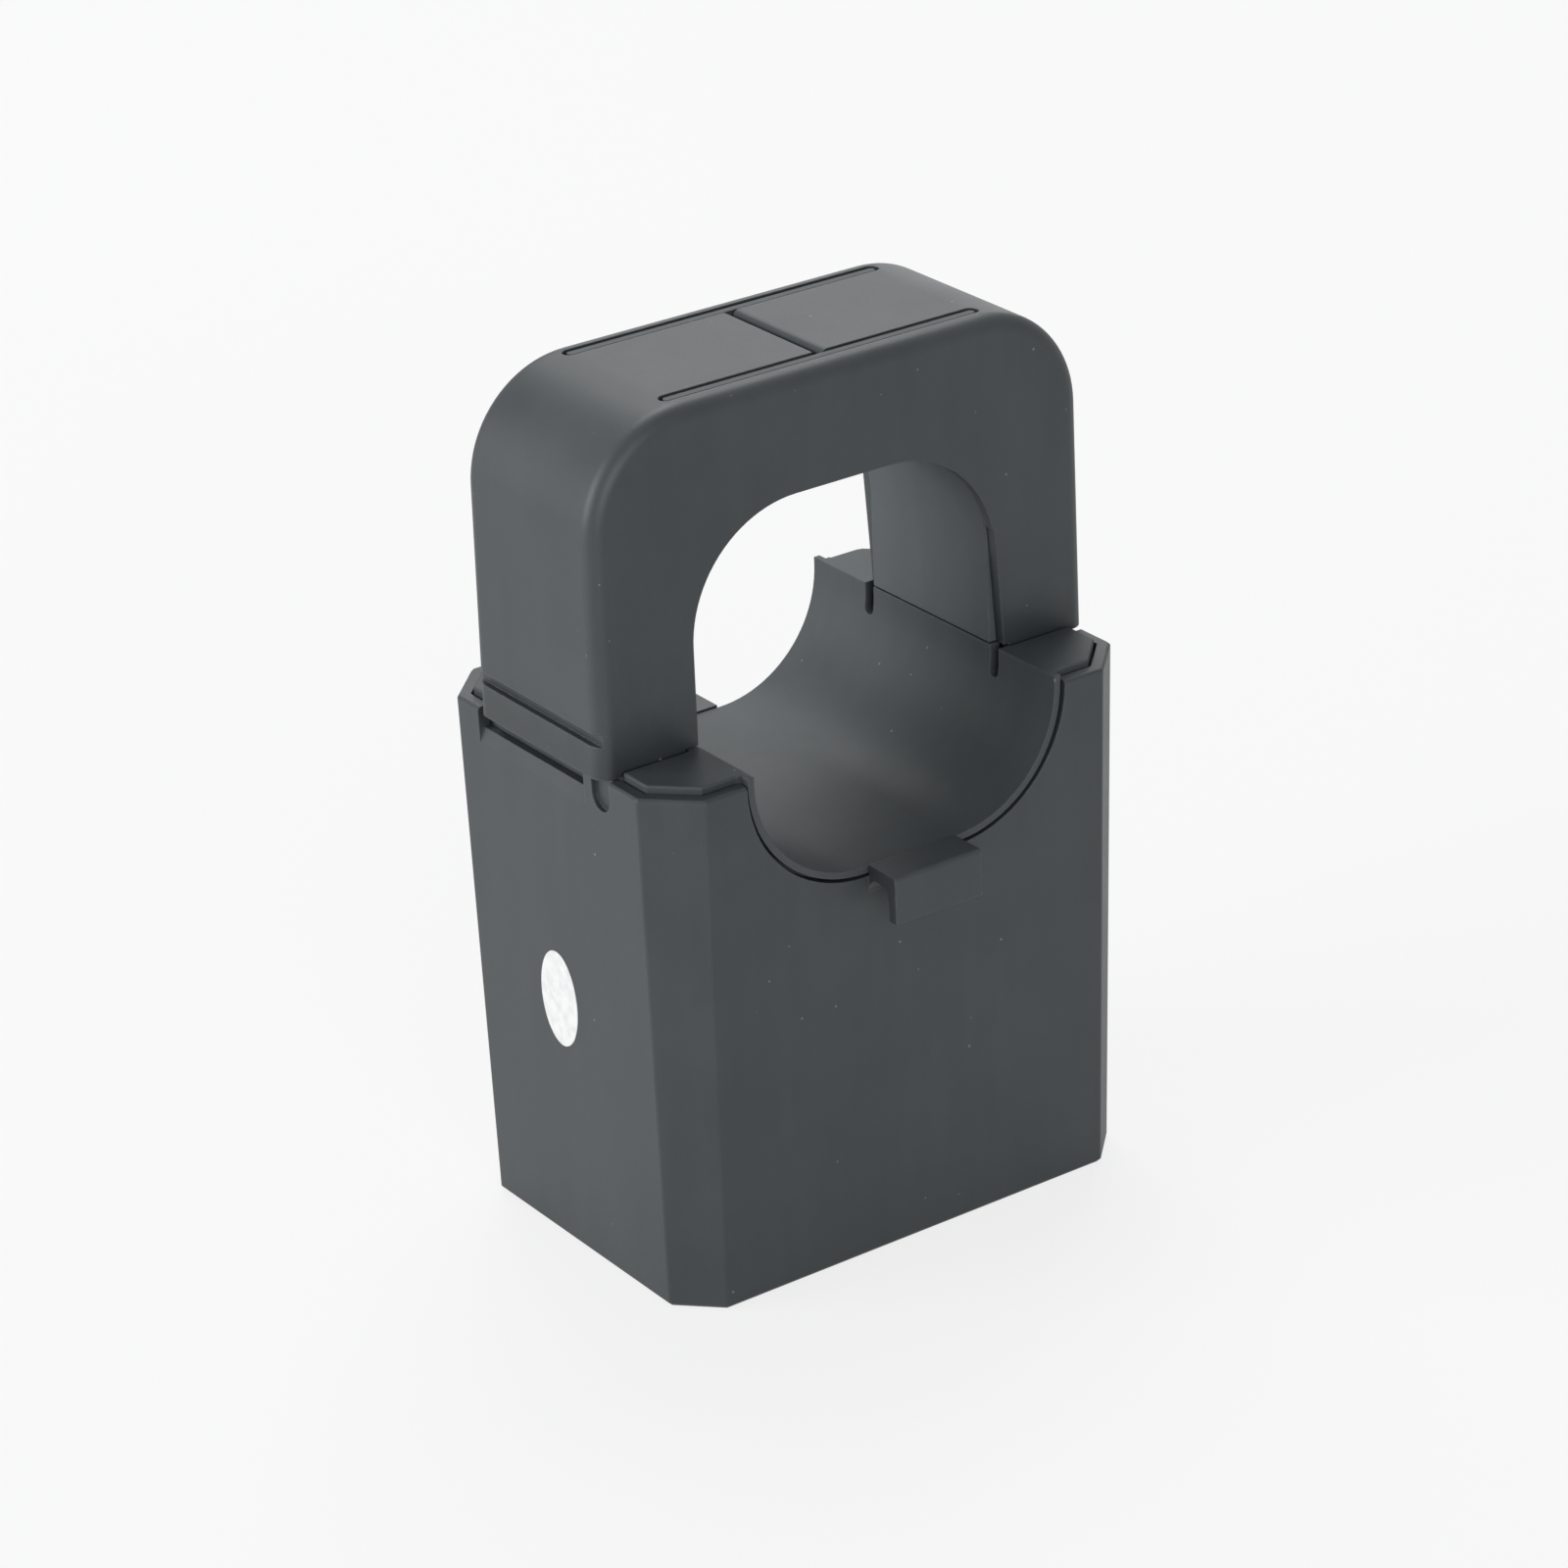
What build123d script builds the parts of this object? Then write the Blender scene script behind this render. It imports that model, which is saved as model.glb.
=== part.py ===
"""Split-core current transducer with a 36 mm window: a chamfered housing with a saddle-shaped top,
and a hinged yoke that closes over the conductor. Millimetres, +Z up, front towards -Y,
latch towards -X, hinge towards +X, origin at the centre of the underside."""
import os
from math import atan, degrees, sqrt

from build123d import *

# Window for the conductor; widths are counted from its sides, heights from its lowest point
WINDOW = 36.0
WINDOW_LOW = 43.0
WINDOW_RADIUS = 12.5
SIDE_BAND = 10.5
TOP_BAND = 12.0
RIM_RISE = 12.6

# Housing
BASE_D = 40.8
BASE_CORNER = 4.7
BASE_DRAFT = 1.0
EDGE_ROUND = 0.6
FOOT_CHAMFER = 0.4
RIM_CHAMFER = 0.25
WALL = 1.3
FLOOR = 2.0
LATCH_CUT_FRONT = -6.6
LATCH_CUT_REAR = 11.9
LATCH_CUT_DROP = 2.2
LATCH_BEVEL_W = 0.6
LATCH_BEVEL_H = 1.75
HINGE_CUT_DROP = 2.7
NICK_Y = -9.5
NICK_RADIUS = 1.5
NICK_DROP = 2.0
NICK_DEPTH = 0.6
POST_NEAR = 4.1
POST_FAR = 6.2
POST_SINK = 0.1
HOOK_W = 10.4
HOOK_LIFT = 0.2
HOOK_H = 4.9
HOOK_REACH = 4.1
HOOK_T = 1.4
HOOK_LIP_T = 1.1
HOOK_ARCH = 1.4
HOOK_EDGE = 0.4

# Saddle insert
PLATE_RISE = 0.7
PLATE_T = 1.7
PLATE_SEAM = 0.3
PLATE_EDGE = 0.15
TROUGH_T = 1.2
LINING_T = 0.7
LINING_SEAM = 0.35
LINING_RECESS = 0.35
SEAM = 0.15
POCKET_GAP = 0.4
POCKET_T = 1.0
POCKET_DROP = 9.6
SLIT_GAP = 0.2
SLIT_DROP = 2.5
SLIT_ROUND = 0.6

# Hinge
PIVOT_INSET = 1.2
PIVOT_RISE = 1.3
PIN_R = 0.9
PIN_PRESS = 0.01
PIN_RUNNING = 0.05
KNUCKLE_R = 1.75
KNUCKLE_GAP = 0.3
LUG_GAP = 0.4
LUG_T = 3.1
LUG_STEM_W = 2.4
LUG_STEM_SHIFT = 0.35

# Latch
CATCH_T = 0.8
CATCH_DROP = 1.7
CATCH_EDGE_DROP = 4.7
CATCH_INSET = 1.2
LATCH_GAP = 0.25
LATCH_SIDE_GAP = 0.3
TONGUE_T = 0.8
TONGUE_HALF_Y = 4.5
TONGUE_DROP = 6.1
TONGUE_ROOT_H = 2.0
TOOTH_REACH = 0.85
TOOTH_H = 1.2

# Yoke
YOKE_OVERHANG = 0.7
YOKE_D = 21.8
YOKE_FOOT_GAP = 0.1
YOKE_DRAFT = 0.4
YOKE_CORNER = 11.5
YOKE_EDGE = 1.7
YOKE_WALL = 1.2
YOKE_SIDE_T = 1.7
YOKE_TOP_T = 1.5
PLUNGE_T = 1.0
PLUNGE_ROOM = 1.3
PLUNGE_DROP = 2.1
LEG_GAP = 0.3
STEP_GAP = 0.15
WEDGE_RISE = 13.4
WEDGE_W = 0.85
GROOVE_RISE = 3.5
GROOVE_H = 1.3
GROOVE_DEPTH = 0.7
HINGE_BAY = 3.5
SLOT_W = 1.6
SLOT_PAST_WINDOW = 1.3
CROSS_GAP = 1.0
FINGER_ROUND = 0.8
PAD_X = 3.5
PAD_W = 3.0
PAD_SIDE_GAP = 1.6

# Liner of the yoke
WEB_T = 1.2
WEB_GAP = 0.1
WEB_FOOT_GAP = 0.2
FLANGE_T = 0.9
FLANGE_GAP = 0.3
FLANGE_CORE_GAP = 0.15
RIB_RECESS = 0.4
RIB_END_GAP = 0.45

# Cut core
CORE_ROOM = 2.7
CORE_D = 15.0
CORE_CLEAR = 1.7
CORE_RADIUS = 3.5
CORE_SIDE_GAP = 0.1
PARTING_DROP = 0.9
PARTING_GAP = 0.1
CRADLE_HALF_Y = 9.0
CRADLE_HOLD = 2.6
CRADLE_GAP = 0.5

# Bobbin and secondary winding
TUBE_CLEAR = 0.2
TUBE_T = 1.0
BOBBIN_END_GAP = 0.3
BOBBIN_TOP_GAP = 0.3
BOBBIN_FLANGE = 1.0
BOBBIN_CORNER = 1.0
FLANGE_MARGIN = 0.5
COIL_BUILD = 4.0
COIL_RADIUS = 3.0
TAPE_T = 0.25

# Circuit board
BOARD_T = 1.6
BOARD_HALF_Y = 14.0
BOARD_FLOOR_GAP = 2.0
BOARD_TOP_GAP = 2.0
BOARD_PLAY = 0.1
GUIDE_T = 1.7
GUIDE_GRIP = 0.8
GUIDE_DROP = 5.0
CONTACT_HALF = 0.35
CONTACT_INSET = 2.6
CONTACT_RISE = 2.2
PART_INSET = 3.2
PART_Z = 14.0
PART_GAP = 0.1
RESISTOR_R = 1.7
RESISTOR_HALF = 4.5
RESISTOR_PITCH = 12.0
DIODE_R = 1.4
DIODE_HALF = 2.6
DIODE_PITCH = 10.0
LEAD_HALF = 0.3
LEAD_OUT = 0.8
HOLE_CLEAR = 0.15

# Output terminals
BLOCK_HALF_Y = 8.0
BLOCK_HALF_Z = 6.0
BLOCK_BACK_T = 1.6
BLOCK_EDGE = 0.2
BAY_DEPTH = 4.5
BAY_HALF_Y = 3.2
BAY_HALF_Z = 4.8
TERMINAL_Y = 4.0
TERMINAL_Z = 12.0
PLATE_THICK = 0.8
PLATE_HALF_Y = 2.8
PLATE_HALF_Z = 3.4
TAIL_DROP = 2.5
TAIL_HALF = 0.5
TAIL_CLEAR = 0.1
WASHER_SIZE = 5.4
WASHER_THICK = 0.8
WASHER_CORNER = 0.5
SCREW_R = 1.48
SCREW_PAST_PLATE = 1.0
SCREW_CLEAR = 0.3
HEAD_R = 2.6
HEAD_H = 1.9
HEAD_CHAMFER = 0.6
CROSS_L = 3.0
CROSS_W = 0.7
CROSS_DEPTH = 1.1
STACK_GAP = 0.05

# How far cuts reach past what they cut, and how far joined pieces reach into each other
OVER = 1.0
SINK = 0.5

# Places that follow from the sizes above
BASE_W = WINDOW + 2 * SIDE_BAND
RIM_Z = WINDOW_LOW + RIM_RISE
DRAFT_ANGLE = degrees(atan(BASE_DRAFT / RIM_Z))
WINDOW_Z = WINDOW_LOW + WINDOW / 2
CORNER_OFFSET = 2 - sqrt(2)
INNER_X = BASE_W / 2 - WALL
INNER_Y = BASE_D / 2 - WALL
LATCH_CUT_Z = RIM_Z - LATCH_CUT_DROP
HINGE_CUT_Z = RIM_Z - HINGE_CUT_DROP
NICK_Z = RIM_Z - NICK_DROP
HOOK_TOP = WINDOW_LOW + HOOK_LIFT
SADDLE_TOP = RIM_Z + PLATE_RISE
SADDLE_LOW = WINDOW_LOW - TROUGH_T - OVER
POCKET_Y = YOKE_D / 2 + POCKET_GAP
POCKET_LOW = RIM_Z - POCKET_DROP
YOKE_INNER_Y = YOKE_D / 2 - YOKE_WALL
SLIT_IN = YOKE_D / 2 - PLUNGE_T - SLIT_GAP
SLIT_OUT = YOKE_D / 2 + SLIT_GAP
SLIT_LOW = RIM_Z - SLIT_DROP
PIVOT_X = BASE_W / 2 - PIVOT_INSET
PIVOT_Z = RIM_Z + PIVOT_RISE
LUG_OUT = YOKE_INNER_Y - LUG_GAP
LUG_IN = LUG_OUT - LUG_T
KNUCKLE_Y = LUG_IN - KNUCKLE_GAP
CATCH_OUT = INNER_X - SEAM
CATCH_IN = CATCH_OUT - CATCH_T
CATCH_TOP = RIM_Z - CATCH_DROP
CATCH_EDGE = RIM_Z - CATCH_EDGE_DROP
TONGUE_OUT = CATCH_IN - LATCH_GAP
TONGUE_IN = TONGUE_OUT - TONGUE_T
TONGUE_LOW = RIM_Z - TONGUE_DROP
YOKE_W = BASE_W + 2 * YOKE_OVERHANG
YOKE_TOP = WINDOW_LOW + WINDOW + TOP_BAND
YOKE_FOOT = RIM_Z + YOKE_FOOT_GAP
CAVITY_W = YOKE_W - 2 * YOKE_SIDE_T
CAVITY_TOP = YOKE_TOP - YOKE_TOP_T
CAVITY_CORNER = YOKE_CORNER - YOKE_TOP_T
PLUNGE_X = INNER_X - PLUNGE_ROOM
PLUNGE_LOW = RIM_Z - PLUNGE_DROP
LEG_INNER = WINDOW / 2 + TROUGH_T + LEG_GAP
GROOVE_LOW = RIM_Z + GROOVE_RISE
GROOVE_TOP = GROOVE_LOW + GROOVE_H
SLOT_LEN = WINDOW + SLOT_PAST_WINDOW
SLOT_Y = CORE_D / 2 + FLANGE_CORE_GAP + FLANGE_T / 2
WEB_Y = YOKE_INNER_Y - WEB_GAP
WEB_FOOT = SADDLE_TOP + WEB_FOOT_GAP
FLANGE_W = CAVITY_W - 2 * FLANGE_GAP
FLANGE_TOP = CAVITY_TOP - FLANGE_GAP
CORE_IN_W = WINDOW + 2 * CORE_CLEAR
CORE_OUT_W = 2 * (INNER_X - CORE_ROOM)
CORE_T = (CORE_OUT_W - CORE_IN_W) / 2
TUBE_Y = CORE_D / 2 + TUBE_CLEAR
TUBE_Z = CORE_T / 2 + TUBE_CLEAR
COIL_HALF_Y = TUBE_Y + TUBE_T + COIL_BUILD
COIL_HALF_Z = TUBE_Z + TUBE_T + COIL_BUILD
FLANGE_HALF_Y = COIL_HALF_Y + FLANGE_MARGIN
FLANGE_HALF_Z = COIL_HALF_Z + FLANGE_MARGIN
LIMB_Z = WINDOW_LOW - TROUGH_T - BOBBIN_TOP_GAP - FLANGE_HALF_Z
CORE_LOW = LIMB_Z - CORE_T / 2
CORE_IN_LOW = CORE_LOW + CORE_T
CORE_IN_TOP = WINDOW_LOW + WINDOW + WEB_T
CORE_OUT_TOP = CORE_IN_TOP + CORE_T
CORE_Z = (CORE_OUT_TOP + CORE_LOW) / 2
PARTING_Z = RIM_Z - PARTING_DROP
BOBBIN_X = CORE_IN_W / 2 - CORE_RADIUS - BOBBIN_END_GAP
COIL_X = BOBBIN_X - BOBBIN_FLANGE
CONTACT_Y = FLANGE_HALF_Y - CONTACT_INSET
CONTACT_Z = LIMB_Z - FLANGE_HALF_Z + CONTACT_RISE
BAY_FLOOR_X = INNER_X - BAY_DEPTH
BOARD_FACE = BAY_FLOOR_X - BLOCK_BACK_T
BOARD_X = BOARD_FACE - BOARD_T
BOARD_LOW = FLOOR + BOARD_FLOOR_GAP
BOARD_TOP = CORE_LOW - BOARD_TOP_GAP
GUIDE_TOP = BOARD_TOP - GUIDE_DROP
PART_Y = BOARD_HALF_Y - PART_INSET
LEAD_TIP = BOARD_X - LEAD_OUT
SCREW_TIP_X = BAY_FLOOR_X - SCREW_PAST_PLATE
TAIL_Z = TERMINAL_Z - TAIL_DROP


def half_depth(z):
    return BASE_D / 2 - BASE_DRAFT * (1 - z / RIM_Z)


def box_between(x, y, z, mode=Mode.ADD):
    """A box from its low and high limits along each axis."""
    middle = [(a + b) / 2 for a, b in (x, y, z)]
    size = [abs(b - a) for a, b in (x, y, z)]
    with Locations(tuple(middle)):
        Box(*size, mode=mode)


def chamfered_outline(inset):
    """The eight-sided outline of the housing at its rim, moved in by inset."""
    x = BASE_W / 2 - inset
    y = BASE_D / 2 - inset
    cut = BASE_CORNER - inset * CORNER_OFFSET
    corner = [(x - cut, y), (x, y - cut), (x, cut - y), (x - cut, -y)]
    Polygon(*corner, *[(-a, -b) for a, b in corner], align=None)


def side_faces(piece):
    return piece.faces().filter_by(lambda face: abs(face.normal_at().Z) < SINK)


def window_profile(grow):
    """The rounded window seen from the front, grown outwards by grow."""
    with Locations((0, WINDOW_Z)):
        RectangleRounded(WINDOW + 2 * grow, WINDOW + 2 * grow, WINDOW_RADIUS + grow)


# The housing's hollow, and the space that the saddle insert may take up in it
with BuildPart() as hollow:
    with BuildSketch(Plane.XY.offset(RIM_Z)):
        chamfered_outline(WALL)
    extrude(amount=FLOOR - RIM_Z)
    draft(side_faces(hollow), Plane.XY.offset(RIM_Z), -DRAFT_ANGLE)

with BuildPart() as insert_space:
    with BuildSketch(Plane.XY.offset(SADDLE_TOP)):
        chamfered_outline(WALL + SEAM)
    extrude(amount=SADDLE_LOW - SADDLE_TOP)
    draft(side_faces(insert_space), Plane.XY.offset(SADDLE_TOP), -DRAFT_ANGLE)

# Housing: drafted box with chamfered corners, open at the top
with BuildPart() as housing:
    with BuildSketch(Plane.XY.offset(RIM_Z)):
        chamfered_outline(0)
    extrude(amount=-RIM_Z)
    draft(side_faces(housing), Plane.XY.offset(RIM_Z), -DRAFT_ANGLE)
    upright = housing.edges().filter_by(lambda edge: OVER < edge.center().Z < RIM_Z - OVER)
    fillet(upright, EDGE_ROUND)
    chamfer(housing.faces().sort_by(Axis.Z)[0].edges(), FOOT_CHAMFER)
    chamfer(housing.faces().sort_by(Axis.Z)[-1].edges(), RIM_CHAMFER)
    add(hollow.part, mode=Mode.SUBTRACT)
    # Corner posts that carry the saddle insert
    post_x = INNER_X + POST_SINK
    post_y = INNER_Y + POST_SINK
    for side_x in (-1, 1):
        for side_y in (-1, 1):
            with BuildSketch(Plane.XY.offset(FLOOR)):
                with BuildLine():
                    Polyline(
                        (side_x * post_x, side_y * (post_y - POST_FAR)),
                        (side_x * post_x, side_y * (post_y - POST_NEAR)),
                        (side_x * (post_x - POST_NEAR), side_y * post_y),
                        (side_x * (post_x - POST_FAR), side_y * post_y),
                        close=True,
                    )
                make_face()
            extrude(amount=SADDLE_TOP - PLATE_T - FLOOR)
    # Cradles under the core and guides for the circuit board
    cradle_top = CORE_LOW + CRADLE_HOLD
    core_y = CORE_D / 2 + CORE_SIDE_GAP
    for side_x in (-1, 1):
        cradle_x = sorted((side_x * (BOBBIN_X + CRADLE_GAP), side_x * (LEAD_TIP - LEG_GAP)))
        box_between(cradle_x, (-CRADLE_HALF_Y, CRADLE_HALF_Y), (FLOOR, cradle_top))
        box_between(cradle_x, (-core_y, core_y), (CORE_LOW, cradle_top), Mode.SUBTRACT)
    for side_y in (-1, 1):
        box_between(
            (BOARD_X - GUIDE_T, BOARD_FACE + GUIDE_T),
            (side_y * (BOARD_HALF_Y - GUIDE_GRIP), side_y * (half_depth(FLOOR) - SINK)),
            (FLOOR, GUIDE_TOP),
        )
        box_between(
            (BOARD_X - BOARD_PLAY, BOARD_FACE + BOARD_PLAY),
            (side_y * (BOARD_HALF_Y - GUIDE_GRIP - OVER), side_y * (BOARD_HALF_Y + BOARD_PLAY)),
            (BOARD_LOW, GUIDE_TOP),
            Mode.SUBTRACT,
        )
    # Saddle-shaped cut-outs in the front and back walls
    with BuildSketch(Plane.XZ):
        window_profile(LINING_T + LINING_SEAM)
    extrude(amount=BASE_D, both=True, mode=Mode.SUBTRACT)
    # Hinge side cut down between the pocket walls, latch side cut down with a bevelled edge
    box_between((LEG_INNER, BASE_W), (-POCKET_Y, POCKET_Y), (HINGE_CUT_Z, RIM_Z + OVER), Mode.SUBTRACT)
    with BuildSketch(Plane.XZ.offset(-LATCH_CUT_REAR)):
        with BuildLine():
            Polyline(
                (-BASE_W / 2 - 2 * LATCH_BEVEL_W, RIM_Z + OVER),
                (-BASE_W / 2 - 2 * LATCH_BEVEL_W, LATCH_CUT_Z - 3 * LATCH_BEVEL_H),
                (-BASE_W / 2 + LATCH_BEVEL_W, LATCH_CUT_Z),
                (-INNER_X + OVER, LATCH_CUT_Z),
                (-INNER_X + OVER, RIM_Z + OVER),
                close=True,
            )
        make_face()
    extrude(amount=LATCH_CUT_REAR - LATCH_CUT_FRONT, mode=Mode.SUBTRACT)
    # Round-ended nick for a blade beside the latch
    with BuildSketch(Plane.YZ.offset(-BASE_W / 2 - OVER)):
        with Locations((NICK_Y, NICK_Z)):
            Circle(NICK_RADIUS)
        with Locations((NICK_Y, (NICK_Z + RIM_Z + OVER) / 2)):
            Rectangle(2 * NICK_RADIUS, RIM_Z + OVER - NICK_Z)
    extrude(amount=OVER + NICK_DEPTH, mode=Mode.SUBTRACT)
    # Cable-tie hooks below the window, front and back, arched on the inside
    under = HOOK_TOP - HOOK_T
    for side_y in (-1, 1):
        wall_out = side_y * half_depth(HOOK_TOP)
        wall_in = wall_out - side_y * WALL / 2
        lip_out = side_y * (BASE_D / 2 + HOOK_REACH)
        lip_in = lip_out - side_y * HOOK_LIP_T
        with BuildSketch(Plane.YZ.offset(-HOOK_W / 2)) as hook:
            with BuildLine():
                Polyline(
                    (wall_out, HOOK_TOP),
                    (lip_out, HOOK_TOP),
                    (lip_out, HOOK_TOP - HOOK_H),
                    (lip_in, HOOK_TOP - HOOK_H),
                    (lip_in, under),
                    (wall_out, under),
                    (wall_out, under - HOOK_ARCH - SEAM),
                    (wall_in, under - HOOK_ARCH - SEAM),
                    (wall_in, WINDOW_LOW - LINING_T - LINING_SEAM),
                    (wall_out, WINDOW_LOW - LINING_T - LINING_SEAM),
                    close=True,
                )
            make_face()
            inner_corners = hook.vertices().filter_by_position(Axis.Y, under - STACK_GAP, under + STACK_GAP)
            fillet(inner_corners, HOOK_ARCH)
            outer_corner = hook.vertices().group_by(Axis.Y)[-1].sort_by(lambda corner: abs(corner.X))[-1]
            fillet(outer_corner, HOOK_EDGE)
        extrude(amount=HOOK_W)
    # Opening for the output terminals
    box_between(
        (BAY_FLOOR_X, BASE_W),
        (-BLOCK_HALF_Y - SEAM, BLOCK_HALF_Y + SEAM),
        (TERMINAL_Z - BLOCK_HALF_Z - SEAM, TERMINAL_Z + BLOCK_HALF_Z + SEAM),
        Mode.SUBTRACT,
    )
housing.part.label = "housing"

# Saddle insert: trough, four corner plates, pockets for the yoke legs, hinge lugs and latch catch
with BuildPart() as saddle:
    with BuildSketch(Plane.XY.offset(SADDLE_TOP - PLATE_T)):
        chamfered_outline(WALL + PLATE_SEAM)
    extrude(amount=PLATE_T)
    chamfer(saddle.faces().sort_by(Axis.Z)[-1].edges(), PLATE_EDGE)
    for side_x in (-1, 1):
        box_between(
            sorted((side_x * (WINDOW / 2 + TROUGH_T), side_x * BASE_W)),
            (-POCKET_Y, POCKET_Y),
            (SADDLE_TOP - PLATE_T - OVER, SADDLE_TOP + OVER),
            Mode.SUBTRACT,
        )
        for side_y in (-1, 1):
            box_between(
                sorted((side_x * WINDOW / 2, side_x * CATCH_OUT)),
                (side_y * POCKET_Y, side_y * (POCKET_Y + POCKET_T)),
                (POCKET_LOW, SADDLE_TOP - PLATE_T),
            )
    with BuildSketch(Plane.XZ):
        window_profile(TROUGH_T)
        with Locations((0, SADDLE_TOP + BASE_W / 2)):
            Rectangle(BASE_W, BASE_W, mode=Mode.SUBTRACT)
    extrude(amount=INNER_Y - SEAM, both=True)
    # Catch wall behind the latch cut-out, with its window for the tooth
    box_between(
        (-CATCH_OUT, -CATCH_IN),
        (LATCH_CUT_FRONT + CATCH_INSET, POCKET_Y + POCKET_T),
        (POCKET_LOW, CATCH_TOP),
    )
    box_between(
        (-CATCH_OUT - OVER, -CATCH_IN + OVER),
        (-TONGUE_HALF_Y - LATCH_SIDE_GAP, TONGUE_HALF_Y + LATCH_SIDE_GAP),
        (TONGUE_LOW - OVER, CATCH_EDGE),
        Mode.SUBTRACT,
    )
    # Outer pocket wall below the hinge lugs
    lug_x = PIVOT_X - LUG_STEM_SHIFT - LUG_STEM_W / 2
    box_between(
        (lug_x, CATCH_OUT), (-POCKET_Y - POCKET_T, POCKET_Y + POCKET_T), (POCKET_LOW, HINGE_CUT_Z)
    )
    # Everything so far follows the draft of the housing's inner walls, one seam away from them
    add(insert_space.part, mode=Mode.INTERSECT)
    # Thin ends of the trough that line the cut-outs in the front and back walls
    with BuildSketch(Plane.XZ):
        window_profile(LINING_T)
        with Locations((0, SADDLE_TOP + BASE_W / 2)):
            Rectangle(BASE_W, BASE_W, mode=Mode.SUBTRACT)
    extrude(amount=BASE_D / 2 - LINING_RECESS, both=True)
    with BuildSketch(Plane.XZ):
        window_profile(0)
    extrude(amount=BASE_D, both=True, mode=Mode.SUBTRACT)
    # Slits beside the hinge-side leg, for the yoke walls as they swing
    for side_y in (-1, 1):
        with BuildSketch(Plane.YZ.offset(WINDOW / 2 - OVER)):
            with Locations((side_y * (SLIT_IN + SLIT_OUT) / 2, (SLIT_LOW + SADDLE_TOP + OVER) / 2)):
                RectangleRounded(SLIT_OUT - SLIT_IN, SADDLE_TOP + OVER - SLIT_LOW, SLIT_ROUND)
        extrude(amount=OVER + TROUGH_T + SEAM, mode=Mode.SUBTRACT)
    # Hinge lugs
    for side_y in (-1, 1):
        with BuildSketch(Plane.XZ.offset(-side_y * LUG_IN)):
            with Locations((PIVOT_X, PIVOT_Z)):
                Circle(KNUCKLE_R)
            with Locations((PIVOT_X - LUG_STEM_SHIFT, (PIVOT_Z + HINGE_CUT_Z) / 2)):
                Rectangle(LUG_STEM_W, PIVOT_Z - HINGE_CUT_Z)
        extrude(amount=-side_y * LUG_T)
    with BuildSketch(Plane.XZ):
        with Locations((PIVOT_X, PIVOT_Z)):
            Circle(PIN_R + PIN_PRESS)
    extrude(amount=BASE_D, both=True, mode=Mode.SUBTRACT)
saddle.part.label = "saddle"

# Hinge pin
with BuildPart() as hinge_pin:
    with BuildSketch(Plane.XZ):
        with Locations((PIVOT_X, PIVOT_Z)):
            Circle(PIN_R)
    extrude(amount=LUG_OUT - STACK_GAP, both=True)
hinge_pin.part.label = "hinge_pin"

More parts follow.
